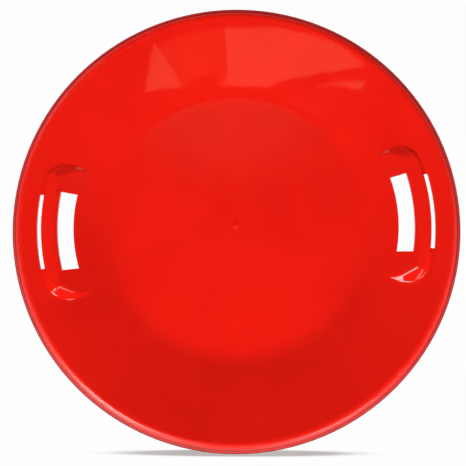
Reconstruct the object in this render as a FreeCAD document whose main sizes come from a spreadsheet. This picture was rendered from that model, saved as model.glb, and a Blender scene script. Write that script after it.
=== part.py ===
# Saucer sled: a dished round shell with a rolled rim and two raised handles, in millimetres.
# It lies flat as it is ridden: Z is up, the origin is the middle of the gliding face,
# and the handles stand on the X axis.
import FreeCAD, Part
import math
import os
import Sketcher

ORIGIN = -1
FIRST_END = 1
LAST_END = 2
CENTRE = 3
AXIS_POINT = FreeCAD.Vector(0, 0, 0)
SKETCH_NORMAL = FreeCAD.Vector(0, 0, 1)
FULL_TURN = 360
QUARTER_TURN = 90
TOUCH = 1e-4
SHARP_ANGLE = 0.05

# Driving sizes: lengths in millimetres, angles in degrees
SIZES = (
    ("sled_diameter", 635.0),
    ("sheet_thickness", 3.0),
    ("wall_width", 106.0),
    ("wall_angle", 26.0),
    ("floor_bend_radius", 50.0),
    ("rim_roll_radius", 9.0),
    ("lip_angle", 50.0),
    ("lip_fillet_radius", 3.0),
    ("brim_width", 3.0),
    ("gate_nub_diameter", 14.0),
    ("gate_nub_height", 1.4),
    ("gate_tip_diameter", 4.0),
    ("gate_tip_height", 0.9),
    ("slot_rim_gap", 17.0),
    ("outer_slot_width", 6.0),
    ("grip_width", 23.5),
    ("inner_slot_width", 19.0),
    ("slot_length", 112.0),
    ("outer_slot_length", 108.0),
    ("slot_end_angle", 7.0),
    ("grip_drop", 4.8),
    ("grip_depth", 8.0),
    ("grip_lip_width", 3.0),
    ("grip_edge_radius", 1.2),
    ("blister_floor_gap", 18.0),
    ("flank_axis_offset", 200.0),
    ("blister_end_length", 43.0),
    ("blister_end_angle", 25.0),
    ("nose_axis_offset", 3.0),
    ("nose_margin", 8.0),
    ("nose_tip_radius", 4.0),
    ("blister_skirt_angle", 75.0),
    ("blister_corner_radius", 42.0),
    ("blister_edge_radius", 8.0),
    ("grip_crest_radius", 5.0),
    ("blister_foot_radius", 4.0),
    ("blister_sweep_angle", 84.0),
    ("seam_margin", 5.0),
    ("seam_corner_radius", 16.0),
    ("cut_overrun", 20.0),
)

# Places worked out from the driving sizes, each an expression on the sheet
SHEET = "Dims.sheet_thickness"
OUTER_RADIUS = "Dims.sled_diameter / 2"
LIP_CENTRE_RADIUS = f"({OUTER_RADIUS} - Dims.brim_width)"
LIP_RADIUS = "Dims.lip_fillet_radius"
ROLL_RADIUS = "Dims.rim_roll_radius"
ROLL_CENTRE_RADIUS = f"({LIP_CENTRE_RADIUS} - ({LIP_RADIUS} + {ROLL_RADIUS}) * sin(Dims.lip_angle))"
WALL_END_RADIUS = f"({ROLL_CENTRE_RADIUS} - {ROLL_RADIUS} * sin(Dims.wall_angle))"
CORNER_RADIUS = f"({WALL_END_RADIUS} - Dims.wall_width)"
WALL_END_HEIGHT = f"({SHEET} + Dims.wall_width * tan(Dims.wall_angle))"
ROLL_CENTRE_HEIGHT = f"({WALL_END_HEIGHT} - {ROLL_RADIUS} * cos(Dims.wall_angle))"
RIM_TOP = f"({ROLL_CENTRE_HEIGHT} + {ROLL_RADIUS})"
LIP_CENTRE_HEIGHT = f"({ROLL_CENTRE_HEIGHT} + ({LIP_RADIUS} + {ROLL_RADIUS}) * cos(Dims.lip_angle))"
BRIM_TOP = f"({LIP_CENTRE_HEIGHT} - {LIP_RADIUS})"
FLOOR_RADIUS = f"({CORNER_RADIUS} - Dims.floor_bend_radius * tan(Dims.wall_angle / 2))"
BEND_HEIGHT = f"({SHEET} + Dims.floor_bend_radius)"

OUTER_SLOT_RADIUS = f"({WALL_END_RADIUS} - Dims.slot_rim_gap)"
GRIP_OUTER = f"({OUTER_SLOT_RADIUS} - Dims.outer_slot_width)"
GRIP_INNER = f"({GRIP_OUTER} - Dims.grip_width)"
INNER_SLOT_RADIUS = f"({GRIP_INNER} - Dims.inner_slot_width)"
GRIP_TOP = f"({RIM_TOP} - Dims.grip_drop)"
CREST_INNER = f"({GRIP_INNER} + Dims.grip_lip_width)"
BLISTER_INNER = f"({CORNER_RADIUS} + Dims.blister_floor_gap)"
BLISTER_FOOT = f"({SHEET} + Dims.blister_floor_gap * tan(Dims.wall_angle))"
FLANK_ANGLE = f"(atan(({GRIP_TOP} - {BLISTER_FOOT}) / ({CREST_INNER} - {BLISTER_INNER})) / 1 deg)"
FLANK_FOOT = f"({CREST_INNER} - {GRIP_TOP} / tan({FLANK_ANGLE}))"
BLISTER_HALF = "(Dims.slot_length / 2 + Dims.blister_end_length)"
INNER_SLOT_MIDDLE = f"({INNER_SLOT_RADIUS} + Dims.inner_slot_width / 2)"
OUTER_SLOT_MIDDLE = f"({GRIP_OUTER} + Dims.outer_slot_width / 2)"
NOSE_AXIS = f"({INNER_SLOT_RADIUS} + Dims.nose_axis_offset)"
NOSE_RADIUS = f"({NOSE_AXIS} - {BLISTER_INNER} + Dims.nose_margin)"
END_RADIUS = f"hypot({NOSE_AXIS}; {BLISTER_HALF})"
END_HEIGHT = f"({SHEET} + ({END_RADIUS} - {CORNER_RADIUS}) * tan(Dims.wall_angle))"


def make_sheet(doc):
    """Write the driving sizes into the document's sheet."""
    sheet = doc.addObject("Spreadsheet::Sheet", "Dims")
    for row, (alias, size) in enumerate(SIZES, start=1):
        sheet.set(f"A{row}", alias)
        sheet.set(f"B{row}", str(size))
        sheet.setAlias(f"B{row}", alias)
    doc.recompute()


def value(doc, expression):
    """The number that an expression on the sheet stands for."""
    return float(doc.Dims.evalExpression(expression))


def place(doc, across, up):
    """A sketch point from two expressions."""
    return FreeCAD.Vector(value(doc, across), value(doc, up), 0)


def origin_feature(body, role):
    """One of a body's own origin planes or axes."""
    return next(feature for feature in body.Origin.OriginFeatures if feature.Role == role)


def new_sketch(body, role, name):
    """An empty sketch on one of the body's origin planes."""
    sketch = body.newObject("Sketcher::SketchObject", name)
    sketch.AttachmentSupport = [(origin_feature(body, role), "")]
    sketch.MapMode = "FlatFace"
    return sketch


def bind(sketch, name, constraint, expression):
    """Add a named dimension to a sketch and tie it to the sheet."""
    index = sketch.addConstraint(constraint)
    sketch.renameConstraint(index, name)
    sketch.setExpression(f"Constraints.{name}", expression)


def draw_line(sketch, start, end):
    return sketch.addGeometry(Part.LineSegment(start, end), False)


def draw_arc(sketch, centre, start, end):
    """An arc that runs counter-clockwise from start to end."""
    spoke = start - centre
    first = math.atan2(spoke.y, spoke.x)
    last = math.atan2(end.y - centre.y, end.x - centre.x)
    circle = Part.Circle(centre, SKETCH_NORMAL, spoke.Length)
    return sketch.addGeometry(Part.ArcOfCircle(circle, first, last), False)


def join(sketch, first, first_end, second, second_end):
    sketch.addConstraint(Sketcher.Constraint("Coincident", first, first_end, second, second_end))


def tangent(sketch, first, first_end, second, second_end):
    sketch.addConstraint(Sketcher.Constraint("Tangent", first, first_end, second, second_end))


def fix_across(sketch, name, geometry, end, expression):
    """Tie how far a sketch point lies from the upright axis."""
    spot = sketch.getPoint(geometry, end)
    rule = Sketcher.Constraint("DistanceX", ORIGIN, FIRST_END, geometry, end, spot.x)
    bind(sketch, name, rule, expression)


def fix_up(sketch, name, geometry, end, expression):
    """Tie how high a sketch point lies."""
    spot = sketch.getPoint(geometry, end)
    rule = Sketcher.Constraint("DistanceY", ORIGIN, FIRST_END, geometry, end, spot.y)
    bind(sketch, name, rule, expression)


def fix_point(sketch, name, geometry, end, across, up):
    """Tie a sketch point to its distances from the origin."""
    fix_across(sketch, f"{name}_across", geometry, end, across)
    fix_up(sketch, f"{name}_up", geometry, end, up)


def fix_radius(sketch, name, arc, expression):
    rule = Sketcher.Constraint("Radius", arc, sketch.Geometry[arc].Radius)
    bind(sketch, name, rule, expression)


def fix_angle(sketch, name, line, expression):
    """Tie a line's slope to an angle in degrees."""
    edge = sketch.Geometry[line]
    run = edge.EndPoint - edge.StartPoint
    rule = Sketcher.Constraint("Angle", line, math.atan2(run.y, run.x))
    bind(sketch, name, rule, f"{expression} * 1 deg")


def draw_polygon(sketch, points):
    """A closed run of lines through the points."""
    lines = [draw_line(sketch, start, end) for start, end in zip(points, points[1:] + points[:1])]
    for first, second in zip(lines, lines[1:] + lines[:1]):
        join(sketch, first, LAST_END, second, FIRST_END)
    return lines


def draw_rectangle(doc, sketch, left, bottom, right, top):
    """An upright rectangle between four expressions."""
    corners = [
        place(doc, left, bottom),
        place(doc, right, bottom),
        place(doc, right, top),
        place(doc, left, top),
    ]
    lower, outer, upper, inner = draw_polygon(sketch, corners)
    sketch.addConstraint(Sketcher.Constraint("Horizontal", lower))
    sketch.addConstraint(Sketcher.Constraint("Horizontal", upper))
    sketch.addConstraint(Sketcher.Constraint("Vertical", outer))
    sketch.addConstraint(Sketcher.Constraint("Vertical", inner))
    fix_point(sketch, "low", lower, FIRST_END, left, bottom)
    fix_point(sketch, "high", upper, FIRST_END, right, top)


def revolve(body, sketch, angle=None):
    """Turn a profile about the sled's axis, all round or evenly to both sides of the X axis."""
    turned = body.newObject("PartDesign::Revolution", f"{sketch.Name}_turned")
    turned.Profile = sketch
    turned.ReferenceAxis = (sketch, ["V_Axis"])
    if angle is None:
        turned.Angle = FULL_TURN
    else:
        turned.Midplane = True
        turned.setExpression("Angle", f"{angle} * 1 deg")


def round_edges(body, name, keep, radius):
    """Fillet the edges of a body that pass a test."""
    body.Document.recompute()
    last = body.Tip
    names = [f"Edge{i}" for i, edge in enumerate(last.Shape.Edges, start=1) if keep(edge)]
    fillet = body.newObject("PartDesign::Fillet", name)
    fillet.Base = (last, names)
    fillet.setExpression("Radius", radius)
    body.Tip = fillet


def make_floor(doc):
    """The flat gliding disc."""
    body = doc.addObject("PartDesign::Body", "floor_disc")
    sketch = new_sketch(body, "YZ_Plane", "floor_profile")
    draw_rectangle(doc, sketch, "0", "0", FLOOR_RADIUS, SHEET)
    revolve(body, sketch)
    return body


def make_gate_nub(doc):
    """The low cone and its broken tip in the middle of the floor, where the mould was filled."""
    body = doc.addObject("PartDesign::Body", "gate_nub")
    sketch = new_sketch(body, "YZ_Plane", "nub_profile")
    cone_top = f"({SHEET} + Dims.gate_nub_height)"
    tip_top = f"({cone_top} + Dims.gate_tip_height)"
    tip_radius = "Dims.gate_tip_diameter / 2"
    nub_radius = "Dims.gate_nub_diameter / 2"
    points = [
        place(doc, "0", SHEET),
        place(doc, nub_radius, SHEET),
        place(doc, tip_radius, cone_top),
        place(doc, tip_radius, tip_top),
        place(doc, "0", tip_top),
    ]
    base, slope, side, top, _ = draw_polygon(sketch, points)
    sketch.addConstraint(Sketcher.Constraint("Horizontal", base))
    sketch.addConstraint(Sketcher.Constraint("Vertical", side))
    sketch.addConstraint(Sketcher.Constraint("Horizontal", top))
    fix_point(sketch, "middle", base, FIRST_END, "0", SHEET)
    fix_point(sketch, "foot", slope, LAST_END, tip_radius, cone_top)
    fix_point(sketch, "peak", top, LAST_END, "0", tip_top)
    fix_across(sketch, "nub_radius", base, LAST_END, nub_radius)
    revolve(body, sketch)
    return body


def make_wall_blank(doc):
    """The bend from the floor and the straight conical wall, all round and with no openings."""
    body = doc.addObject("PartDesign::Body", "wall_blank")
    sketch = new_sketch(body, "YZ_Plane", "wall_profile")
    slope = math.radians(value(doc, "Dims.wall_angle"))
    along = FreeCAD.Vector(math.cos(slope), math.sin(slope), 0)
    outward = FreeCAD.Vector(math.sin(slope), -math.cos(slope), 0)
    centre = place(doc, FLOOR_RADIUS, BEND_HEIGHT)
    bend = value(doc, "Dims.floor_bend_radius")
    sheet = value(doc, SHEET)
    top_end = place(doc, WALL_END_RADIUS, WALL_END_HEIGHT)
    top_bend = draw_arc(sketch, centre, place(doc, FLOOR_RADIUS, SHEET), centre + outward * bend)
    top_wall = draw_line(sketch, centre + outward * bend, top_end)
    end_cap = draw_line(sketch, top_end, top_end + outward * sheet)
    low_wall = draw_line(sketch, centre + outward * (bend + sheet), top_end + outward * sheet)
    low_bend = draw_arc(sketch, centre, place(doc, FLOOR_RADIUS, "0"), centre + outward * (bend + sheet))
    start_cap = draw_line(sketch, place(doc, FLOOR_RADIUS, "0"), place(doc, FLOOR_RADIUS, SHEET))
    tangent(sketch, top_bend, LAST_END, top_wall, FIRST_END)
    tangent(sketch, low_bend, LAST_END, low_wall, FIRST_END)
    join(sketch, top_wall, LAST_END, end_cap, FIRST_END)
    join(sketch, low_wall, LAST_END, end_cap, LAST_END)
    join(sketch, start_cap, FIRST_END, low_bend, FIRST_END)
    join(sketch, start_cap, LAST_END, top_bend, FIRST_END)
    join(sketch, top_bend, CENTRE, low_bend, CENTRE)
    sketch.addConstraint(Sketcher.Constraint("Vertical", start_cap))
    sketch.addConstraint(Sketcher.Constraint("Vertical", low_bend, FIRST_END, low_bend, CENTRE))
    sketch.addConstraint(Sketcher.Constraint("Parallel", top_wall, low_wall))
    sketch.addConstraint(Sketcher.Constraint("Perpendicular", end_cap, top_wall))
    fix_point(sketch, "bend_centre", top_bend, CENTRE, FLOOR_RADIUS, BEND_HEIGHT)
    fix_radius(sketch, "inner_bend", top_bend, "Dims.floor_bend_radius")
    fix_radius(sketch, "outer_bend", low_bend, f"Dims.floor_bend_radius + {SHEET}")
    fix_angle(sketch, "slope", top_wall, "Dims.wall_angle")
    fix_across(sketch, "wall_end", top_wall, LAST_END, WALL_END_RADIUS)
    revolve(body, sketch)
    return body


def make_rim(doc):
    """The rim: the sheet rolled over the top of the wall, then turned out into a thin round-edged brim."""
    body = doc.addObject("PartDesign::Body", "rolled_rim")
    sketch = new_sketch(body, "YZ_Plane", "rim_profile")
    slope = math.radians(value(doc, "Dims.wall_angle"))
    lip = math.radians(value(doc, "Dims.lip_angle"))
    from_wall = FreeCAD.Vector(-math.sin(slope), math.cos(slope), 0)
    to_lip = FreeCAD.Vector(math.sin(lip), math.cos(lip), 0)
    down = FreeCAD.Vector(0, -1, 0)
    sheet = value(doc, SHEET)
    roll = value(doc, ROLL_RADIUS)
    fillet = value(doc, LIP_RADIUS)
    roll_centre = place(doc, ROLL_CENTRE_RADIUS, ROLL_CENTRE_HEIGHT)
    lip_centre = place(doc, LIP_CENTRE_RADIUS, LIP_CENTRE_HEIGHT)
    edge_centre = place(doc, f"{OUTER_RADIUS} - {SHEET} / 2", f"{BRIM_TOP} - {SHEET} / 2")
    edge_top = edge_centre - down * (sheet / 2)
    edge_bottom = edge_centre + down * (sheet / 2)
    inner_roll = roll - sheet
    outer_lip = fillet + sheet
    start_cap = draw_line(sketch, roll_centre + from_wall * inner_roll, roll_centre + from_wall * roll)
    top_roll = draw_arc(sketch, roll_centre, roll_centre + to_lip * roll, roll_centre + from_wall * roll)
    top_lip = draw_arc(sketch, lip_centre, lip_centre - to_lip * fillet, lip_centre + down * fillet)
    top_brim = draw_line(sketch, lip_centre + down * fillet, edge_top)
    edge = draw_arc(sketch, edge_centre, edge_bottom, edge_top)
    low_brim = draw_line(sketch, lip_centre + down * outer_lip, edge_bottom)
    low_lip = draw_arc(sketch, lip_centre, lip_centre - to_lip * outer_lip, lip_centre + down * outer_lip)
    low_roll = draw_arc(
        sketch, roll_centre, roll_centre + to_lip * inner_roll, roll_centre + from_wall * inner_roll
    )
    join(sketch, start_cap, LAST_END, top_roll, LAST_END)
    join(sketch, start_cap, FIRST_END, low_roll, LAST_END)
    tangent(sketch, top_roll, FIRST_END, top_lip, FIRST_END)
    tangent(sketch, low_roll, FIRST_END, low_lip, FIRST_END)
    tangent(sketch, top_lip, LAST_END, top_brim, FIRST_END)
    tangent(sketch, low_lip, LAST_END, low_brim, FIRST_END)
    tangent(sketch, top_brim, LAST_END, edge, LAST_END)
    tangent(sketch, low_brim, LAST_END, edge, FIRST_END)
    join(sketch, top_roll, CENTRE, low_roll, CENTRE)
    join(sketch, top_lip, CENTRE, low_lip, CENTRE)
    sketch.addConstraint(Sketcher.Constraint("Horizontal", top_brim))
    sketch.addConstraint(Sketcher.Constraint("PointOnObject", top_roll, CENTRE, start_cap))
    fix_point(sketch, "roll_centre", top_roll, CENTRE, ROLL_CENTRE_RADIUS, ROLL_CENTRE_HEIGHT)
    fix_radius(sketch, "roll_outside", top_roll, ROLL_RADIUS)
    fix_radius(sketch, "roll_inside", low_roll, f"{ROLL_RADIUS} - {SHEET}")
    fix_radius(sketch, "lip_inside", top_lip, LIP_RADIUS)
    fix_angle(sketch, "start_slope", start_cap, "(90 + Dims.wall_angle)")
    fix_across(sketch, "lip_centre", top_lip, CENTRE, LIP_CENTRE_RADIUS)
    fix_across(sketch, "edge_centre", edge, CENTRE, f"{OUTER_RADIUS} - {SHEET} / 2")
    revolve(body, sketch)
    return body


def wall_height(doc, x, y):
    """How high the upper face of the wall lies at a place in plan."""
    climb = math.tan(math.radians(value(doc, "Dims.wall_angle")))
    return value(doc, SHEET) + (math.hypot(x, y) - value(doc, CORNER_RADIUS)) * climb


def make_blister_block(doc, name, inset):
    """A handle's raised block, solid down to the ground, drawn in by an inset on every side.

    Its top and outer skirt are turned about the sled's axis, and its inner flank about an axis
    further back, so that the flank is flatter than the rim. In plan its outer corners are round.
    Its two ends slope down to the wall, and turn into a cone towards the rider.
    """
    body = doc.addObject("PartDesign::Body", name)
    section = new_sketch(body, "XZ_Plane", f"{name}_section")
    top = f"({GRIP_TOP} - {inset})"
    inside = f"({CORNER_RADIUS} - Dims.floor_bend_radius)"
    skirt_run = f"({GRIP_TOP} / tan(Dims.blister_skirt_angle) - {inset} / sin(Dims.blister_skirt_angle))"
    skirt_foot = f"({GRIP_OUTER} + {skirt_run})"
    points = [
        place(doc, inside, "0"),
        place(doc, skirt_foot, "0"),
        place(doc, f"{skirt_foot} - {top} / tan(Dims.blister_skirt_angle)", top),
        place(doc, inside, top),
    ]
    base, skirt, crest, back = draw_polygon(section, points)
    section.addConstraint(Sketcher.Constraint("Horizontal", base))
    section.addConstraint(Sketcher.Constraint("Horizontal", crest))
    section.addConstraint(Sketcher.Constraint("Vertical", back))
    fix_angle(section, "skirt_slope", skirt, "(180 - Dims.blister_skirt_angle)")
    fix_point(section, "base", base, FIRST_END, inside, "0")
    fix_across(section, "skirt_foot", base, LAST_END, skirt_foot)
    fix_up(section, "crest", crest, FIRST_END, top)
    revolve(body, section, "Dims.blister_sweep_angle")
    stand_ends(doc, body, inset)
    cut_flank(doc, body, inset)
    slope_ends(doc, body, inset)
    round_blister(doc, body, inset)
    return body


def stand_ends(doc, body, inset):
    """Cut both ends of a handle's block as steep as its skirt, and round the two outer corners."""
    doc.recompute()
    sketch = new_sketch(body, "YZ_Plane", f"{body.Name}_stand")
    steep = "Dims.blister_skirt_angle"
    half = f"({BLISTER_HALF} + Dims.blister_foot_radius)"
    foot = f"({half} + {END_HEIGHT} / tan({steep}) - {inset} / sin({steep}))"
    above = f"({GRIP_TOP} + Dims.cut_overrun)"
    points = [
        place(doc, foot, "0"),
        place(doc, OUTER_RADIUS, "0"),
        place(doc, OUTER_RADIUS, above),
        place(doc, f"{foot} - {above} / tan({steep})", above),
    ]
    low, side, high, face = draw_polygon(sketch, points)
    for level in (low, high):
        sketch.addConstraint(Sketcher.Constraint("Horizontal", level))
    sketch.addConstraint(Sketcher.Constraint("Vertical", side))
    fix_point(sketch, "foot", low, FIRST_END, foot, "0")
    fix_point(sketch, "far", side, LAST_END, OUTER_RADIUS, above)
    fix_across(sketch, "face_top", face, FIRST_END, f"{foot} - {above} / tan({steep})")
    cut = body.newObject("PartDesign::Pocket", f"{body.Name}_stand_cut")
    cut.Profile = sketch
    cut.Type = "ThroughAll"
    cut.Midplane = True
    mirror_cuts(doc, body, [cut], f"{body.Name}_stands")
    inner = value(doc, CREST_INNER)

    def is_corner(edge):
        heights = [vertex.Z for vertex in edge.Vertexes]
        outside = all(math.hypot(vertex.X, vertex.Y) > inner for vertex in edge.Vertexes)
        return outside and max(heights) - min(heights) > TOUCH

    round_edges(body, f"{body.Name}_corners", is_corner, f"Dims.blister_corner_radius - {inset}")


def mirror_cuts(doc, body, cuts, name):
    """Repeat cuts on the other side of the X axis."""
    doc.recompute()
    both = body.newObject("PartDesign::Mirrored", name)
    both.Originals = cuts
    both.MirrorPlane = (origin_feature(body, "XZ_Plane"), [""])
    body.Tip = both
    doc.recompute()


def cut_flank(doc, body, inset):
    """Slope the inner side of a handle's block down towards the rider."""
    doc.recompute()
    sketch = new_sketch(body, "XZ_Plane", f"{body.Name}_flank")
    above = f"({GRIP_TOP} + Dims.cut_overrun)"
    foot = f"({FLANK_FOOT} + {inset} / sin({FLANK_ANGLE}))"
    points = [
        place(doc, "0", "0"),
        place(doc, foot, "0"),
        place(doc, f"{foot} + {above} / tan({FLANK_ANGLE})", above),
        place(doc, "0", above),
    ]
    base, slope, top, back = draw_polygon(sketch, points)
    for level in (base, top):
        sketch.addConstraint(Sketcher.Constraint("Horizontal", level))
    sketch.addConstraint(Sketcher.Constraint("Vertical", back))
    join(sketch, base, FIRST_END, ORIGIN, FIRST_END)
    fix_across(sketch, "foot", base, LAST_END, foot)
    fix_up(sketch, "above", top, FIRST_END, above)
    fix_angle(sketch, "slope", slope, FLANK_ANGLE)
    far_back = value(doc, "Dims.flank_axis_offset")
    axis_top = FreeCAD.Vector(-far_back, value(doc, above), 0)
    axis = sketch.addGeometry(Part.LineSegment(FreeCAD.Vector(-far_back, 0, 0), axis_top), True)
    sketch.addConstraint(Sketcher.Constraint("Vertical", axis))
    sketch.addConstraint(Sketcher.Constraint("Horizontal", axis, FIRST_END, base, FIRST_END))
    sketch.addConstraint(Sketcher.Constraint("Horizontal", axis, LAST_END, top, FIRST_END))
    offset = Sketcher.Constraint("DistanceX", axis, FIRST_END, ORIGIN, FIRST_END, far_back)
    bind(sketch, "axis_offset", offset, "Dims.flank_axis_offset")
    groove = body.newObject("PartDesign::Groove", f"{body.Name}_flank_cut")
    groove.Profile = sketch
    groove.ReferenceAxis = (sketch, ["Axis0"])
    groove.Angle = FULL_TURN
    doc.recompute()


def slope_ends(doc, body, inset):
    """Slope both ends of a handle's block along planes that follow the wall, round towards the rider."""
    sketch = new_sketch(body, "YZ_Plane", f"{body.Name}_end")
    tilt = FreeCAD.Rotation(FreeCAD.Vector(-1, 0, 0), value(doc, "Dims.wall_angle"))
    sketch.AttachmentOffset = FreeCAD.Placement(AXIS_POINT, tilt)
    sketch.setExpression("AttachmentOffset.Base.y", END_HEIGHT)
    sketch.setExpression("AttachmentOffset.Base.z", NOSE_AXIS)
    sketch.setExpression("AttachmentOffset.Rotation.Angle", "Dims.wall_angle * 1 deg")
    half = f"({BLISTER_HALF} - {inset} / sin(Dims.blister_end_angle))"
    spread = f"({GRIP_TOP} / tan(Dims.blister_end_angle))"
    axis_across = f"({BLISTER_HALF} - {NOSE_RADIUS})"
    tip = f"({axis_across} + Dims.nose_tip_radius)"
    peak = f"(({half} - {tip}) * tan(Dims.blister_end_angle))"
    far = f"({half} + {spread} + {OUTER_RADIUS})"
    points = [
        place(doc, f"{half} + {spread}", f"-{GRIP_TOP}"),
        place(doc, far, f"-{GRIP_TOP}"),
        place(doc, far, GRIP_TOP),
        place(doc, tip, GRIP_TOP),
        place(doc, tip, peak),
    ]
    low, side, high, inside, face = draw_polygon(sketch, points)
    for level in (low, high):
        sketch.addConstraint(Sketcher.Constraint("Horizontal", level))
    for upright in (side, inside):
        sketch.addConstraint(Sketcher.Constraint("Vertical", upright))
    fix_point(sketch, "foot", low, FIRST_END, f"{half} + {spread}", f"-{GRIP_TOP}")
    fix_point(sketch, "far", side, LAST_END, far, GRIP_TOP)
    fix_point(sketch, "tip", face, FIRST_END, tip, peak)
    axis_line = Part.LineSegment(place(doc, axis_across, "0"), place(doc, axis_across, peak))
    axis = sketch.addGeometry(axis_line, True)
    sketch.addConstraint(Sketcher.Constraint("Vertical", axis))
    fix_point(sketch, "axis", axis, FIRST_END, axis_across, "0")
    fix_up(sketch, "axis_top", axis, LAST_END, peak)
    doc.recompute()
    cut = body.newObject("PartDesign::Pocket", f"{body.Name}_end_cut")
    cut.Profile = sketch
    cut.Type = "ThroughAll"
    cut.Midplane = True
    doc.recompute()
    nose = body.newObject("PartDesign::Groove", f"{body.Name}_nose_cut")
    nose.Profile = sketch
    nose.ReferenceAxis = (sketch, ["Axis0"])
    nose.Angle = QUARTER_TURN
    mirror_cuts(doc, body, [cut, nose], f"{body.Name}_ends")


def round_blister(doc, body, inset):
    """Round every sharp edge of a handle's block that rises from the wall."""
    sunk = value(doc, "Dims.blister_foot_radius")

    def is_clear(vertex):
        return vertex.Z > wall_height(doc, vertex.X, vertex.Y) - sunk

    def is_sharp(edge):
        middle = edge.valueAt((edge.FirstParameter + edge.LastParameter) / 2)
        faces = body.Tip.Shape.ancestorsOfType(edge, Part.Face)
        normals = [face.normalAt(*face.Surface.parameter(middle)) for face in faces]
        return normals[0].getAngle(normals[-1]) > SHARP_ANGLE

    def is_top_edge(edge):
        return any(is_clear(vertex) for vertex in edge.Vertexes) and is_sharp(edge)

    round_edges(body, f"{body.Name}_edges", is_top_edge, f"Dims.blister_edge_radius - {inset}")


def make_window(doc):
    """The upright prism on whose outline a handle's housing meets the wall."""
    body = doc.addObject("PartDesign::Body", "window")
    sketch = new_sketch(body, "XY_Plane", "window_outline")
    inner = f"({BLISTER_INNER} - Dims.seam_margin)"
    outer = f"({OUTER_SLOT_RADIUS} + Dims.seam_margin)"
    half = f"({BLISTER_HALF} + Dims.seam_margin)"
    reach = value(doc, half)
    inner_end = math.sqrt(value(doc, inner) ** 2 - reach ** 2)
    outer_end = math.sqrt(value(doc, outer) ** 2 - reach ** 2)
    corners = [
        FreeCAD.Vector(inner_end, -reach, 0),
        FreeCAD.Vector(outer_end, -reach, 0),
        FreeCAD.Vector(outer_end, reach, 0),
        FreeCAD.Vector(inner_end, reach, 0),
    ]
    low = draw_line(sketch, corners[0], corners[1])
    outside = draw_arc(sketch, AXIS_POINT, corners[1], corners[2])
    high = draw_line(sketch, corners[2], corners[3])
    inside = draw_arc(sketch, AXIS_POINT, corners[0], corners[3])
    join(sketch, low, LAST_END, outside, FIRST_END)
    join(sketch, outside, LAST_END, high, FIRST_END)
    join(sketch, high, LAST_END, inside, LAST_END)
    join(sketch, inside, FIRST_END, low, FIRST_END)
    join(sketch, outside, CENTRE, ORIGIN, FIRST_END)
    join(sketch, inside, CENTRE, ORIGIN, FIRST_END)
    sketch.addConstraint(Sketcher.Constraint("Horizontal", low))
    sketch.addConstraint(Sketcher.Constraint("Horizontal", high))
    fix_radius(sketch, "inside_radius", inside, inner)
    fix_radius(sketch, "outside_radius", outside, outer)
    below = Sketcher.Constraint("DistanceY", low, FIRST_END, ORIGIN, FIRST_END, reach)
    bind(sketch, "half_below", below, half)
    fix_up(sketch, "half_above", high, FIRST_END, half)
    prism = body.newObject("PartDesign::Pad", "window_prism")
    prism.Profile = sketch
    prism.setExpression("Length", f"{RIM_TOP} + Dims.cut_overrun")

    def is_upright(edge):
        first, last = edge.Vertexes
        return abs(first.Z - last.Z) > TOUCH

    round_edges(body, "window_corners", is_upright, "Dims.seam_corner_radius")
    return body


def make_slot_wedge(doc, name, middle, length):
    """An upright prism with slightly spread ends, which ends a slot or a grip at its length."""
    body = doc.addObject("PartDesign::Body", f"{name}_wedge")
    sketch = new_sketch(body, "XY_Plane", f"{name}_plan")
    inner = f"({BLISTER_INNER} - Dims.cut_overrun)"
    outer = f"({WALL_END_RADIUS} + Dims.cut_overrun)"
    spread = "tan(Dims.slot_end_angle)"
    inner_half = f"({length} / 2 - ({middle} - {inner}) * {spread})"
    outer_half = f"({length} / 2 + ({outer} - {middle}) * {spread})"
    points = [
        place(doc, inner, f"-{inner_half}"),
        place(doc, outer, f"-{outer_half}"),
        place(doc, outer, outer_half),
        place(doc, inner, inner_half),
    ]
    low, outside, high, inside = draw_polygon(sketch, points)
    sketch.addConstraint(Sketcher.Constraint("Vertical", outside))
    sketch.addConstraint(Sketcher.Constraint("Vertical", inside))
    fix_point(sketch, "inner_low", low, FIRST_END, inner, f"-{inner_half}")
    fix_point(sketch, "outer_high", high, FIRST_END, outer, outer_half)
    fix_up(sketch, "outer_low", low, LAST_END, f"-{outer_half}")
    fix_up(sketch, "inner_high", inside, FIRST_END, inner_half)
    prism = body.newObject("PartDesign::Pad", f"{name}_prism")
    prism.Profile = sketch
    prism.setExpression("Length", f"{RIM_TOP} + Dims.cut_overrun")
    return body


def make_slot_tool(doc, name, inner, outer, wedge):
    """A curved bar, concentric with the sled, that cuts a slot right through."""
    body = doc.addObject("PartDesign::Body", f"{name}_ring")
    sketch = new_sketch(body, "XZ_Plane", f"{name}_section")
    draw_rectangle(doc, sketch, inner, "0", outer, f"({RIM_TOP} + Dims.cut_overrun)")
    revolve(body, sketch, "Dims.blister_sweep_angle")
    return combine(doc, "Common", name, body, wedge)


def make_wedge_below(doc):
    """Everything below the middle of the wall's sheet, which trims the foot of a handle's shell."""
    body = doc.addObject("PartDesign::Body", "below_wall")
    sketch = new_sketch(body, "YZ_Plane", "below_section")
    inner = f"({CORNER_RADIUS} - Dims.wall_width)"
    outer = WALL_END_RADIUS
    half_sheet = f"({SHEET} / (2 * cos(Dims.wall_angle)))"
    low = f"({SHEET} - {half_sheet} - Dims.wall_width * tan(Dims.wall_angle))"
    high = f"({WALL_END_HEIGHT} - {half_sheet})"
    bottom = f"({low} - Dims.cut_overrun)"
    points = [
        place(doc, inner, bottom),
        place(doc, outer, bottom),
        place(doc, outer, high),
        place(doc, inner, low),
    ]
    base, outside, slope, inside = draw_polygon(sketch, points)
    sketch.addConstraint(Sketcher.Constraint("Horizontal", base))
    sketch.addConstraint(Sketcher.Constraint("Vertical", outside))
    sketch.addConstraint(Sketcher.Constraint("Vertical", inside))
    fix_point(sketch, "base", base, FIRST_END, inner, bottom)
    fix_point(sketch, "top", slope, FIRST_END, outer, high)
    fix_up(sketch, "inside_height", inside, FIRST_END, low)
    revolve(body, sketch)
    return body


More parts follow.
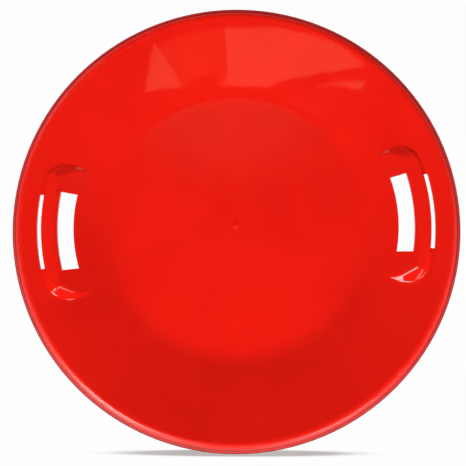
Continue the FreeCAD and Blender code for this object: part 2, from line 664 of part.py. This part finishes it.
def make_grip(doc, wedge):
    """One grip bar: an arched channel, open below, that spans the window between its two slots."""
    body = doc.addObject("PartDesign::Body", "grip_blank")
    sketch = new_sketch(body, "XZ_Plane", "grip_section")
    inside_left = f"({GRIP_INNER} + {SHEET})"
    inside_right = f"({GRIP_OUTER} - {SHEET})"
    bottom = f"({GRIP_TOP} - Dims.grip_depth)"
    ceiling = f"({GRIP_TOP} - {SHEET})"
    shoulder = f"({GRIP_TOP} - Dims.grip_lip_width * tan({FLANK_ANGLE}))"
    points = [
        place(doc, GRIP_INNER, bottom),
        place(doc, inside_left, bottom),
        place(doc, inside_left, ceiling),
        place(doc, inside_right, ceiling),
        place(doc, inside_right, bottom),
        place(doc, GRIP_OUTER, bottom),
        place(doc, GRIP_OUTER, GRIP_TOP),
        place(doc, CREST_INNER, GRIP_TOP),
        place(doc, GRIP_INNER, shoulder),
    ]
    lines = draw_polygon(sketch, points)
    inner_foot, inner_wall, roof, outer_wall, outer_foot, outside, crest, lip, inside = lines
    for level in (inner_foot, roof, outer_foot, crest):
        sketch.addConstraint(Sketcher.Constraint("Horizontal", level))
    for upright in (inner_wall, outer_wall, outside, inside):
        sketch.addConstraint(Sketcher.Constraint("Vertical", upright))
    fix_point(sketch, "inner_foot", inner_foot, FIRST_END, GRIP_INNER, bottom)
    fix_point(sketch, "roof_left", roof, FIRST_END, inside_left, ceiling)
    fix_point(sketch, "outer_foot", outer_foot, FIRST_END, inside_right, bottom)
    fix_point(sketch, "outer_top", crest, FIRST_END, GRIP_OUTER, GRIP_TOP)
    fix_across(sketch, "lip_top", lip, FIRST_END, CREST_INNER)
    fix_up(sketch, "shoulder", inside, FIRST_END, shoulder)
    revolve(body, sketch, "Dims.blister_sweep_angle")
    round_grip(doc, body, bottom)
    return combine(doc, "Common", "right_grip_bar", body, wedge)


def round_grip(doc, body, bottom):
    """Round the grip's crest like the handle around it, then the edges that a hand feels."""
    top = value(doc, GRIP_TOP)
    foot = value(doc, bottom)
    inner_radius = value(doc, GRIP_INNER)
    middle = value(doc, f"({GRIP_INNER} + {GRIP_OUTER}) / 2")

    def lies_at(edge, height):
        return all(abs(vertex.Z - height) < TOUCH for vertex in edge.Vertexes)

    def is_round(edge):
        return isinstance(edge.Curve, Part.Circle)

    def is_inner(edge):
        return all(math.hypot(vertex.X, vertex.Y) < middle for vertex in edge.Vertexes)

    def is_lip_edge(edge):
        return is_round(edge) and lies_at(edge, top) and is_inner(edge)

    def is_crest_edge(edge):
        return is_round(edge) and lies_at(edge, top) and not is_inner(edge)

    def is_hem(edge):
        return is_round(edge) and lies_at(edge, foot)

    def is_shoulder(edge):
        on_side = all(abs(math.hypot(v.X, v.Y) - inner_radius) < TOUCH for v in edge.Vertexes)
        return on_side and all(foot + TOUCH < vertex.Z < top - TOUCH for vertex in edge.Vertexes)

    def is_felt(edge):
        return is_hem(edge) or is_shoulder(edge)

    round_edges(body, "grip_lip", is_lip_edge, "Dims.blister_edge_radius")
    round_edges(body, "grip_crest", is_crest_edge, "Dims.grip_crest_radius")
    round_edges(body, "grip_edges", is_felt, "Dims.grip_edge_radius")


def combine(doc, kind, name, base, tool):
    """One boolean of two objects."""
    result = doc.addObject(f"Part::{kind}", name)
    result.Base = base
    result.Tool = tool
    result.Refine = True
    return result


def blend_foot(doc, housing, block):
    """Fillet the line where a handle's block rises from the wall."""
    doc.recompute()
    skin = block.Shape.Shells[0]
    radius = value(doc, "Dims.blister_foot_radius")

    def is_foot(edge):
        middle = edge.valueAt((edge.FirstParameter + edge.LastParameter) / 2)
        on_wall = abs(middle.z - wall_height(doc, middle.x, middle.y)) < TOUCH
        return on_wall and skin.distToShape(Part.Vertex(middle))[0] < TOUCH

    blended = doc.addObject("Part::Fillet", "housing_blended")
    blended.Base = housing
    edges = enumerate(housing.Shape.Edges, start=1)
    blended.Edges = [(i, radius, radius) for i, edge in edges if is_foot(edge)]
    return blended


def make_handles(doc, wall_blank):
    """The wall with its two windows, and the housing and grip bar that fill each of them."""
    window = make_window(doc)
    block = make_blister_block(doc, "blister_block", "0")
    cavity = make_blister_block(doc, "blister_cavity", SHEET)
    below = make_wedge_below(doc)
    grip_wedge = make_slot_wedge(doc, "grip", INNER_SLOT_MIDDLE, "Dims.slot_length")
    outer_wedge = make_slot_wedge(doc, "outer", OUTER_SLOT_MIDDLE, "Dims.outer_slot_length")
    grip_gap = make_slot_tool(doc, "grip_gap", INNER_SLOT_RADIUS, GRIP_OUTER, grip_wedge)
    outer_slot = make_slot_tool(doc, "outer_slot", GRIP_OUTER, OUTER_SLOT_RADIUS, outer_wedge)
    shell = combine(doc, "Cut", "blister_shell", block, cavity)
    trimmed = combine(doc, "Cut", "blister_trimmed", shell, below)
    patch = combine(doc, "Common", "wall_patch", wall_blank, window)
    frame = combine(doc, "Cut", "wall_frame", patch, cavity)
    housing = combine(doc, "Fuse", "housing_blank", trimmed, frame)
    blended = blend_foot(doc, housing, block)
    slotted = combine(doc, "Cut", "housing_slotted", blended, grip_gap)
    right_housing = combine(doc, "Cut", "right_handle_housing", slotted, outer_slot)
    right_grip = make_grip(doc, grip_wedge)
    left_window = mirror(doc, "left_window", window)
    one_window = combine(doc, "Cut", "wall_one_window", wall_blank, window)
    wall = combine(doc, "Cut", "dish_wall", one_window, left_window)
    left_housing = mirror(doc, "left_handle_housing", right_housing)
    left_grip = mirror(doc, "left_grip_bar", right_grip)
    return [wall, right_housing, left_housing, right_grip, left_grip]


def mirror(doc, name, source):
    """The twin of an object on the other side of the sled."""
    twin = doc.addObject("Part::Mirroring", name)
    twin.Source = source
    twin.Base = AXIS_POINT
    twin.Normal = FreeCAD.Vector(1, 0, 0)
    return twin


def check(doc, pieces):
    """Stop if anything in the document failed, or if a piece is not one valid solid."""
    for thing in doc.Objects:
        if "Invalid" in thing.State or "Error" in thing.State:
            raise RuntimeError(f"{thing.Name} failed: {thing.State}")
    for piece in pieces:
        shape = piece.Shape
        if shape.isNull() or not shape.isValid() or len(shape.Solids) != 1:
            raise RuntimeError(f"{piece.Label} is not one valid solid: {len(shape.Solids)} solids")


def main():
    doc = FreeCAD.newDocument("saucer_sled")
    make_sheet(doc)
    wall_blank = make_wall_blank(doc)
    pieces = [make_floor(doc), make_gate_nub(doc), make_rim(doc)]
    pieces += make_handles(doc, wall_blank)
    doc.recompute()
    check(doc, pieces)
    os.makedirs("parts", exist_ok=True)
    for piece in pieces:
        piece.Shape.exportStep(f"parts/{piece.Label}.step")
        box = piece.Shape.BoundBox
        print(piece.Label, round(piece.Shape.Volume), round(box.ZMin, 2), round(box.ZMax, 2))


main()
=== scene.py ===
# A red saucer sled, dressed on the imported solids: camera, studio, light and plastic, in metres.
import math

import bpy
from mathutils import Euler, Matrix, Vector

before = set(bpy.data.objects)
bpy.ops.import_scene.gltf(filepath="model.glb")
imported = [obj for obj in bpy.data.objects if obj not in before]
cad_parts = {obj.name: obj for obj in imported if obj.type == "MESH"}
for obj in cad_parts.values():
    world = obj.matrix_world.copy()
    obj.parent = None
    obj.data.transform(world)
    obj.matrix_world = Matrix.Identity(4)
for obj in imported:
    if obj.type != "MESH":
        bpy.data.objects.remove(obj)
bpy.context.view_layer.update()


def add_node(tree, kind, inputs=None, **fields):
    """A shader node with its own settings and the values of its unlinked sockets."""
    node = tree.nodes.new("ShaderNode" + kind)
    for field, value in fields.items():
        setattr(node, field, value)
    for socket, value in (inputs or {}).items():
        node.inputs[socket].default_value = value
    return node


def new_material(name):
    material = bpy.data.materials.new(name)
    material.use_nodes = True
    return material


def add_mesh(name, points, faces):
    mesh = bpy.data.meshes.new(name)
    mesh.from_pydata(points, [], faces)
    piece = bpy.data.objects.new(name, mesh)
    bpy.context.scene.collection.objects.link(piece)
    return piece


# Camera: pixels of the photo's frame, and degrees about X, Y and Z
IMAGE_PIXELS = 466
FOCAL_PIXELS = 591.7
SENSOR_WIDTH = 36.0
PRINCIPAL_POINT = (235.3, 220.8)
VIEW_PIVOT = Vector((0, 0, 0.050))
VIEW_DISTANCE = 0.840
VIEW_ANGLES = (7.63, 0.84, -3.01)


def make_camera():
    """The camera looks down into the dish, a little from the rider's end and turned about its own axis."""
    data = bpy.data.cameras.new("camera")
    data.sensor_width = SENSOR_WIDTH
    data.lens = FOCAL_PIXELS / IMAGE_PIXELS * SENSOR_WIDTH
    data.shift_x = (IMAGE_PIXELS / 2 - PRINCIPAL_POINT[0]) / IMAGE_PIXELS
    data.shift_y = (PRINCIPAL_POINT[1] - IMAGE_PIXELS / 2) / IMAGE_PIXELS
    camera = bpy.data.objects.new("camera", data)
    turn = Euler([math.radians(angle) for angle in VIEW_ANGLES])
    camera.rotation_euler = turn
    camera.location = VIEW_PIVOT + turn.to_matrix() @ Vector((0, 0, VIEW_DISTANCE))
    bpy.context.scene.collection.objects.link(camera)
    bpy.context.scene.camera = camera


# Studio floor and world
FLOOR_RADIUS = 5.0
SWEEP_RADIUS = 9.0
SWEEP_HEIGHT = 1.9
SWEEP_STEPS = 8
BACKDROP_RADIUS = 10.0
BACKDROP_HEIGHT = 6.0
FLOOR_SIDES = 96
# The floor's grey paint: it lights the sled by bounce, and in the ovals below it shows as painted shadow
FLOOR_WHITE = (0.45, 0.45, 0.45, 1)
FLOOR_GLOW_SHARE = 0.98
STRIP_TURN = math.radians(VIEW_ANGLES[2])
# Ovals where the floor's grey paint shows instead of its glow, a painted shadow strip in front of the rim
# and, under the sled, its own shadow darkened by the grey as painted shade: middle, half sizes, turn and
# share of fade
PAINTED_SHADOW_STRIP = ((-0.018, -0.328, 0), (0.26, 0.007, 1), (0, 0, STRIP_TURN), 0.25)
SHADOW_FOOT = ((0, 0, 0), (0.252, 0.252, 1), (0, 0, 0), 0.10)
WORLD_GREY = (0.08, 0.08, 0.08, 1)
PLAIN_STRENGTH = 1.0


def floor_rings():
    """Radius and height of the floor's rings: flat, then swept up like a studio backdrop."""
    rings = [(0, 0), (FLOOR_RADIUS, 0)]
    for step in range(1, SWEEP_STEPS + 1):
        share = step / SWEEP_STEPS
        rings.append((FLOOR_RADIUS + (SWEEP_RADIUS - FLOOR_RADIUS) * share, SWEEP_HEIGHT * share ** 2))
    return rings


def ring_points(radius, height, around):
    points = []
    for i in range(around):
        turn = math.tau * i / around
        points.append((radius * math.cos(turn), radius * math.sin(turn), height))
    return points


def add_band(name, rings, around):
    """A round sheet from rings of radius and height, closed only where the first radius is 0."""
    points = []
    faces = []
    for radius, height in rings:
        points += ring_points(radius, height, around)
    for ring in range(len(rings) - 1):
        near = ring * around
        far = near + around
        for i in range(around):
            after = (i + 1) % around
            faces.append((near + i, far + i, far + after, near + after))
    return add_mesh(name, points, faces)


def soft_oval(tree, middle, half_sizes, turn, fade_share):
    """A soft-edged oval on a sheet, 1 inside and 0 outside."""
    place = add_node(tree, "TexCoord")
    reach = {"Location": middle, "Rotation": turn, "Scale": half_sizes}
    oval = add_node(tree, "Mapping", reach, vector_type="TEXTURE")
    fade = add_node(tree, "TexGradient", gradient_type="QUADRATIC_SPHERE")
    spread = add_node(tree, "MapRange", {"From Max": fade_share}, interpolation_type="SMOOTHSTEP")
    tree.links.new(place.outputs["Object"], oval.inputs["Vector"])
    tree.links.new(oval.outputs["Vector"], fade.inputs["Vector"])
    tree.links.new(fade.outputs["Fac"], spread.inputs["Value"])
    return spread.outputs["Result"]


def shadow_zone(tree):
    """Where the floor's grey paint shows instead of its glow: a painted shadow strip in front of the rim,
    and under the sled its own shadow, darkened further by the grey as painted shade.
    """
    zone = add_node(tree, "Math", operation="MAXIMUM")
    tree.links.new(soft_oval(tree, *PAINTED_SHADOW_STRIP), zone.inputs[0])
    tree.links.new(soft_oval(tree, *SHADOW_FOOT), zone.inputs[1])
    return zone.outputs[0]


def seen_rays(tree):
    """1 for rays from the camera, a reflection or a clear piece, else 0."""
    path = add_node(tree, "LightPath")
    direct = add_node(tree, "Math", operation="MAXIMUM")
    seen = add_node(tree, "Math", operation="MAXIMUM")
    tree.links.new(path.outputs["Is Camera Ray"], direct.inputs[0])
    tree.links.new(path.outputs["Is Glossy Ray"], direct.inputs[1])
    tree.links.new(direct.outputs[0], seen.inputs[0])
    tree.links.new(path.outputs["Is Transmission Ray"], seen.inputs[1])
    return seen.outputs[0]


def studio_white():
    """A pale paint that looks white; in the ovals its grey shows instead, as a painted shadow strip in
    front of the rim and as the sled's own shadow, partly painted shade, under it.
    """
    material = new_material("studio_white")
    tree = material.node_tree
    tree.nodes.clear()
    glowing = add_node(tree, "MapRange", {"To Min": FLOOR_GLOW_SHARE, "To Max": 0.0})
    share = add_node(tree, "Math", operation="MULTIPLY")
    paint = add_node(tree, "BsdfDiffuse", {"Color": FLOOR_WHITE})
    glow = add_node(tree, "Emission", {"Strength": PLAIN_STRENGTH})
    mix = add_node(tree, "MixShader")
    output = add_node(tree, "OutputMaterial")
    tree.links.new(shadow_zone(tree), glowing.inputs["Value"])
    tree.links.new(seen_rays(tree), share.inputs[0])
    tree.links.new(glowing.outputs["Result"], share.inputs[1])
    tree.links.new(share.outputs[0], mix.inputs["Fac"])
    tree.links.new(paint.outputs[0], mix.inputs[1])
    tree.links.new(glow.outputs[0], mix.inputs[2])
    tree.links.new(mix.outputs[0], output.inputs["Surface"])
    return material


def make_floor():
    """The floor with its sweep, and above it a backdrop for level views that the sled does not mirror."""
    white = studio_white()
    top = [(SWEEP_RADIUS, SWEEP_HEIGHT), (BACKDROP_RADIUS, BACKDROP_HEIGHT)]
    floor = add_band("studio_floor", floor_rings(), FLOOR_SIDES)
    backdrop = add_band("studio_backdrop", top, FLOOR_SIDES)
    backdrop.visible_glossy = False
    for sheet in (floor, backdrop):
        sheet.data.materials.append(white)


def make_world():
    world = bpy.data.worlds.new("studio_world")
    world.use_nodes = True
    background = world.node_tree.nodes["Background"]
    background.inputs["Color"].default_value = WORLD_GREY
    background.inputs["Strength"].default_value = PLAIN_STRENGTH
    bpy.context.scene.world = world


# Lamps: degrees from straight up, degrees round from the rider's end, distance, size, brightness
LAMPS = {
    "front_left": (46, 38, 2.2, (0.7, 0.6), 6.0),
    "front_right": (46, -28, 2.2, (0.7, 0.6), 7.0),
    "front_middle": (60, 5, 2.2, (1.2, 1.0), 3.0),
    "key_right": (62, -28, 2.3, (0.6, 1.8), 8.4),
    "left_fill": (64, 80, 2.2, (1.0, 1.0), 2.9),
    "right_fill": (64, -80, 2.2, (1.0, 1.0), 3.9),
    "back_left": (60, 130, 2.2, (1.0, 1.0), 7.0),
}
# Lamps that show in the plastic; the others only light it
MIRRORED_LAMPS = ("front_left", "front_right")


def toward(zenith, azimuth, distance):
    """A place round the sled, from degrees off straight up and degrees round from the rider's end."""
    tilt = math.radians(zenith)
    turn = math.radians(azimuth)
    level = distance * math.sin(tilt)
    return Vector((-level * math.sin(turn), -level * math.cos(turn), distance * math.cos(tilt)))


def make_softbox(name, zenith, azimuth, distance, size, brightness):
    """A rectangular lamp that faces the sled; a brightness of 1 looks white."""
    data = bpy.data.lights.new(name, "AREA")
    data.shape = "RECTANGLE"
    data.size, data.size_y = size
    data.energy = brightness * math.pi * size[0] * size[1]
    lamp = bpy.data.objects.new(name, data)
    lamp.location = toward(zenith, azimuth, distance)
    lamp.rotation_euler = (-lamp.location).to_track_quat("-Z", "Y").to_euler()
    lamp.visible_camera = False
    lamp.visible_glossy = name in MIRRORED_LAMPS
    bpy.context.scene.collection.objects.link(lamp)


# Cards: strength, then the spans in degrees off straight up and round from the rider's end
CARD_DISTANCE = 2.4
CARD_COLOUR = (1.0, 0.9, 0.85, 1)
CARDS = {
    "card_left": (12.0, (30, 78), (30, 54)),
    "card_right": (5.5, (64, 82), (-30, -8)),
}
# Ring cards: inner radius, outer radius and height
RING_SIDES = 96
# A painted dark reflection: a grey ring just over the floor's bend, seen only in reflections, that keeps
# the windows' gleam off the bend
DARK_REFLECTION_RING = (0.140, 0.188, 0.050)
# A painted reflection: a glowing ring just over the dish's flat floor, paler at its far end, seen only in
# reflections as a haze
PAINTED_REFLECTION_RING = (0.009, 0.196, 0.006)
PAINTED_REFLECTION_GREY = (0.30, 0.30, 0.21, 1)
PAINTED_REFLECTION_OVAL = ((0, 0.190, 0), (0.27, 0.20, 1), (0, 0, 0), 0.5)
# Windows: glowing sheets overhead that show as the clear patches on the far wall
WINDOW_HEIGHT = 2.0
WINDOW_COLOUR = (1.0, 0.5, 0.3, 1)
BRIGHT_WINDOW = 1.7
DIM_WINDOW = 0.6
# Corners that the dim window shares with the bright ones beside it
WIDE_EDGE = [(0.05, -0.92), (-0.07, -0.91), (0.00, -0.77), (0.00, -0.67)]
NARROW_EDGE = [(0.34, -0.75), (0.37, -0.90)]
WIDE_CORNERS = [(-0.11, -0.67), (-0.34, -0.59), (-0.64, -0.40), (-0.63, -0.56), (-0.56, -0.73),
                (-0.38, -0.94), (-0.17, -1.00), (0.06, -1.00)]
WINDOWS = {
    "window_wide": (BRIGHT_WINDOW, WIDE_EDGE + WIDE_CORNERS),
    "window_narrow": (BRIGHT_WINDOW, NARROW_EDGE + [(0.59, -0.72), (0.44, -0.67), (0.32, -0.60)]),
    "window_sliver": (BRIGHT_WINDOW, [(-0.66, -0.72), (-0.71, -0.49), (-0.71, -0.41), (-0.77, -0.43)]),
    "window_dim": (DIM_WINDOW, NARROW_EDGE + WIDE_EDGE + [(0.16, -0.66), (0.31, -0.63)]),
}


def light_up(sheet, colour, strength):
    """The sheet glows and is hidden from the camera. Returns its node tree and glow."""
    material = new_material(sheet.name)
    tree = material.node_tree
    tree.nodes.clear()
    glow = add_node(tree, "Emission", {"Color": colour, "Strength": strength})
    output = add_node(tree, "OutputMaterial")
    tree.links.new(glow.outputs[0], output.inputs["Surface"])
    sheet.data.materials.append(material)
    sheet.visible_camera = False
    return tree, glow


def make_window(name, strength, corners):
    points = [(x, y, WINDOW_HEIGHT) for x, y in corners]
    window = add_mesh(name, points, [list(range(len(points)))])
    light_up(window, WINDOW_COLOUR, strength)


def keep_to_reflections(sheet):
    """The sheet neither lights the sled's colour nor shades it."""
    sheet.visible_diffuse = False
    sheet.visible_shadow = False


def make_ring_card(name, inner, outer, height):
    """A flat ring as grey as the world, level over the floor and seen only in reflections, where it is a
    painted reflection.
    """
    ring = add_band(name, [(inner, height), (outer, height)], RING_SIDES)
    keep_to_reflections(ring)
    return light_up(ring, WORLD_GREY, PLAIN_STRENGTH)


def make_painted_reflection():
    """A glowing ring just over the flat floor, seen only in reflections and paler at the far end: a painted
    reflection that lays a haze on the floor.
    """
    tree, glow = make_ring_card("haze", *PAINTED_REFLECTION_RING)
    tint = add_node(tree, "ValToRGB")
    tint.color_ramp.elements[0].color = WORLD_GREY
    tint.color_ramp.elements[1].color = PAINTED_REFLECTION_GREY
    tree.links.new(soft_oval(tree, *PAINTED_REFLECTION_OVAL), tint.inputs["Fac"])
    tree.links.new(tint.outputs["Color"], glow.inputs["Color"])


def make_card(name, strength, zeniths, azimuths):
    """A tall pale card that widens the gleam on the rim at the rider's end."""
    low, high = zeniths
    start, end = azimuths
    spots = [(low, start), (low, end), (high, end), (high, start)]
    corners = [toward(zenith, azimuth, CARD_DISTANCE) for zenith, azimuth in spots]
    card = add_mesh(name, corners, [(0, 1, 2, 3)])
    light_up(card, CARD_COLOUR, strength)
    keep_to_reflections(card)


def make_lights():
    for name, settings in LAMPS.items():
        make_softbox(name, *settings)
    for name, settings in WINDOWS.items():
        make_window(name, *settings)
    for name, settings in CARDS.items():
        make_card(name, *settings)
    # Painted reflections: a grey ring over the floor's bend and a hazy ring over the flat floor
    make_ring_card("dark_reflection_ring", *DARK_REFLECTION_RING)
    make_painted_reflection()


# Plastic
PLASTIC_IOR = 1.49
PLASTIC_RED = (0.80, 0.0085, 0.0022, 1)
DEEP_RED = (0.74, 0.0070, 0.0020, 1)
# Dark red of the painted shade in the crease inside the brim and on its edge
PAINTED_SHADE_RED = (0.14, 0.0050, 0.0030, 1)
# Where on the clouds' noise the deep red and the full red stand
CLOUD_SHARES = (0.30, 0.55)
CLOUD_NOISE = {"Scale": 7.0, "Detail": 3.0, "Distortion": 0.6}
GLOSS_NOISE = {"Scale": 55.0, "Detail": 4.0}
GLOSS_NOISE_SPAN = (0.3, 0.7)
GLOSS_ROUGHNESS = (0.02, 0.06)
DULL_ROUGHNESS = 0.85
PEEL_NOISE = {"Scale": 28.0, "Detail": 1.0}
PEEL_STRENGTH = 0.5
PEEL_HEIGHT = 0.00003
RADIUS_SPAN = 0.32
# Radius and share of dullness: the rim is scuffed, most of all on its outer side
DULL_RINGS = [(0, 0), (0.3010, 0), (0.3035, 0.22), (0.3085, 0.3), (0.3105, 0.7), (0.3145, 0.7), (0.3165, 1)]
# Radius and share of unshaded colour: painted shade darkens the crease inside the brim and the brim's edge
UNSHADED_RINGS = [(0, 1), (0.3118, 1), (0.3126, 0), (0.3140, 0), (0.3146, 1), (0.3154, 1), (0.3162, 0)]


def radius_from_axis(tree, place):
    """How far a point is from the sled's upright axis, as a share of the span."""
    flat = add_node(tree, "Mapping", {"Scale": (1 / RADIUS_SPAN, 1 / RADIUS_SPAN, 0)})
    length = add_node(tree, "VectorMath", operation="LENGTH")
    tree.links.new(place.outputs["Object"], flat.inputs["Vector"])
    tree.links.new(flat.outputs["Vector"], length.inputs[0])
    return length.outputs["Value"]


def ring_ramp(tree, radius, rings):
    """A share that changes with the radius, from pairs of radius and share."""
    ramp = add_node(tree, "ValToRGB")
    elements = ramp.color_ramp.elements
    elements.remove(elements[-1])
    for index, (ring, share) in enumerate(rings):
        element = elements[0] if index == 0 else elements.new(ring / RADIUS_SPAN)
        element.position = ring / RADIUS_SPAN
        element.color = (share, share, share, 1)
    tree.links.new(radius, ramp.inputs["Fac"])
    return ramp.outputs["Color"]


def colour_red(tree, place, radius, shader):
    """Faint flow clouds in the red, and painted shade in the crease inside the brim and on its edge."""
    clouds = add_node(tree, "TexNoise", CLOUD_NOISE)
    unshaded = add_node(tree, "Math", operation="MULTIPLY")
    reds = add_node(tree, "ValToRGB")
    elements = reds.color_ramp.elements
    elements[0].color = PAINTED_SHADE_RED
    elements[1].position = CLOUD_SHARES[1]
    elements[1].color = PLASTIC_RED
    elements.new(CLOUD_SHARES[0]).color = DEEP_RED
    tree.links.new(place.outputs["Object"], clouds.inputs["Vector"])
    tree.links.new(clouds.outputs["Fac"], unshaded.inputs[0])
    tree.links.new(ring_ramp(tree, radius, UNSHADED_RINGS), unshaded.inputs[1])
    tree.links.new(unshaded.outputs[0], reds.inputs["Fac"])
    tree.links.new(reds.outputs["Color"], shader.inputs["Base Color"])


def polish(tree, place, radius, shader):
    """Uneven gloss, duller on the scuffed rings."""
    haze = add_node(tree, "TexNoise", GLOSS_NOISE)
    spans = {
        "From Min": GLOSS_NOISE_SPAN[0],
        "From Max": GLOSS_NOISE_SPAN[1],
        "To Min": GLOSS_ROUGHNESS[0],
        "To Max": GLOSS_ROUGHNESS[1],
    }
    gloss = add_node(tree, "MapRange", spans)
    scuffed = add_node(tree, "Math", {1: DULL_ROUGHNESS}, operation="MULTIPLY_ADD")
    tree.links.new(place.outputs["Object"], haze.inputs["Vector"])
    tree.links.new(haze.outputs["Fac"], gloss.inputs["Value"])
    tree.links.new(ring_ramp(tree, radius, DULL_RINGS), scuffed.inputs[0])
    tree.links.new(gloss.outputs["Result"], scuffed.inputs[2])
    tree.links.new(scuffed.outputs[0], shader.inputs["Roughness"])


def roughen(tree, place, shader):
    """The least orange peel."""
    peel = add_node(tree, "TexNoise", PEEL_NOISE)
    bump = add_node(tree, "Bump", {"Strength": PEEL_STRENGTH, "Distance": PEEL_HEIGHT})
    tree.links.new(place.outputs["Object"], peel.inputs["Vector"])
    tree.links.new(peel.outputs["Fac"], bump.inputs["Height"])
    tree.links.new(bump.outputs["Normal"], shader.inputs["Normal"])


def red_plastic():
    """Glossy moulded plastic, a little worn."""
    material = new_material("red_plastic")
    tree = material.node_tree
    shader = tree.nodes["Principled BSDF"]
    shader.inputs["IOR"].default_value = PLASTIC_IOR
    place = add_node(tree, "TexCoord")
    radius = radius_from_axis(tree, place)
    colour_red(tree, place, radius, shader)
    polish(tree, place, radius, shader)
    roughen(tree, place, shader)
    return material


def dress_nodes():
    plastic = red_plastic()
    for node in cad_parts.values():
        node.data.materials.clear()
        node.data.materials.append(plastic)


bpy.context.scene.view_settings.view_transform = "Standard"
make_camera()
make_world()
make_floor()
make_lights()
dress_nodes()
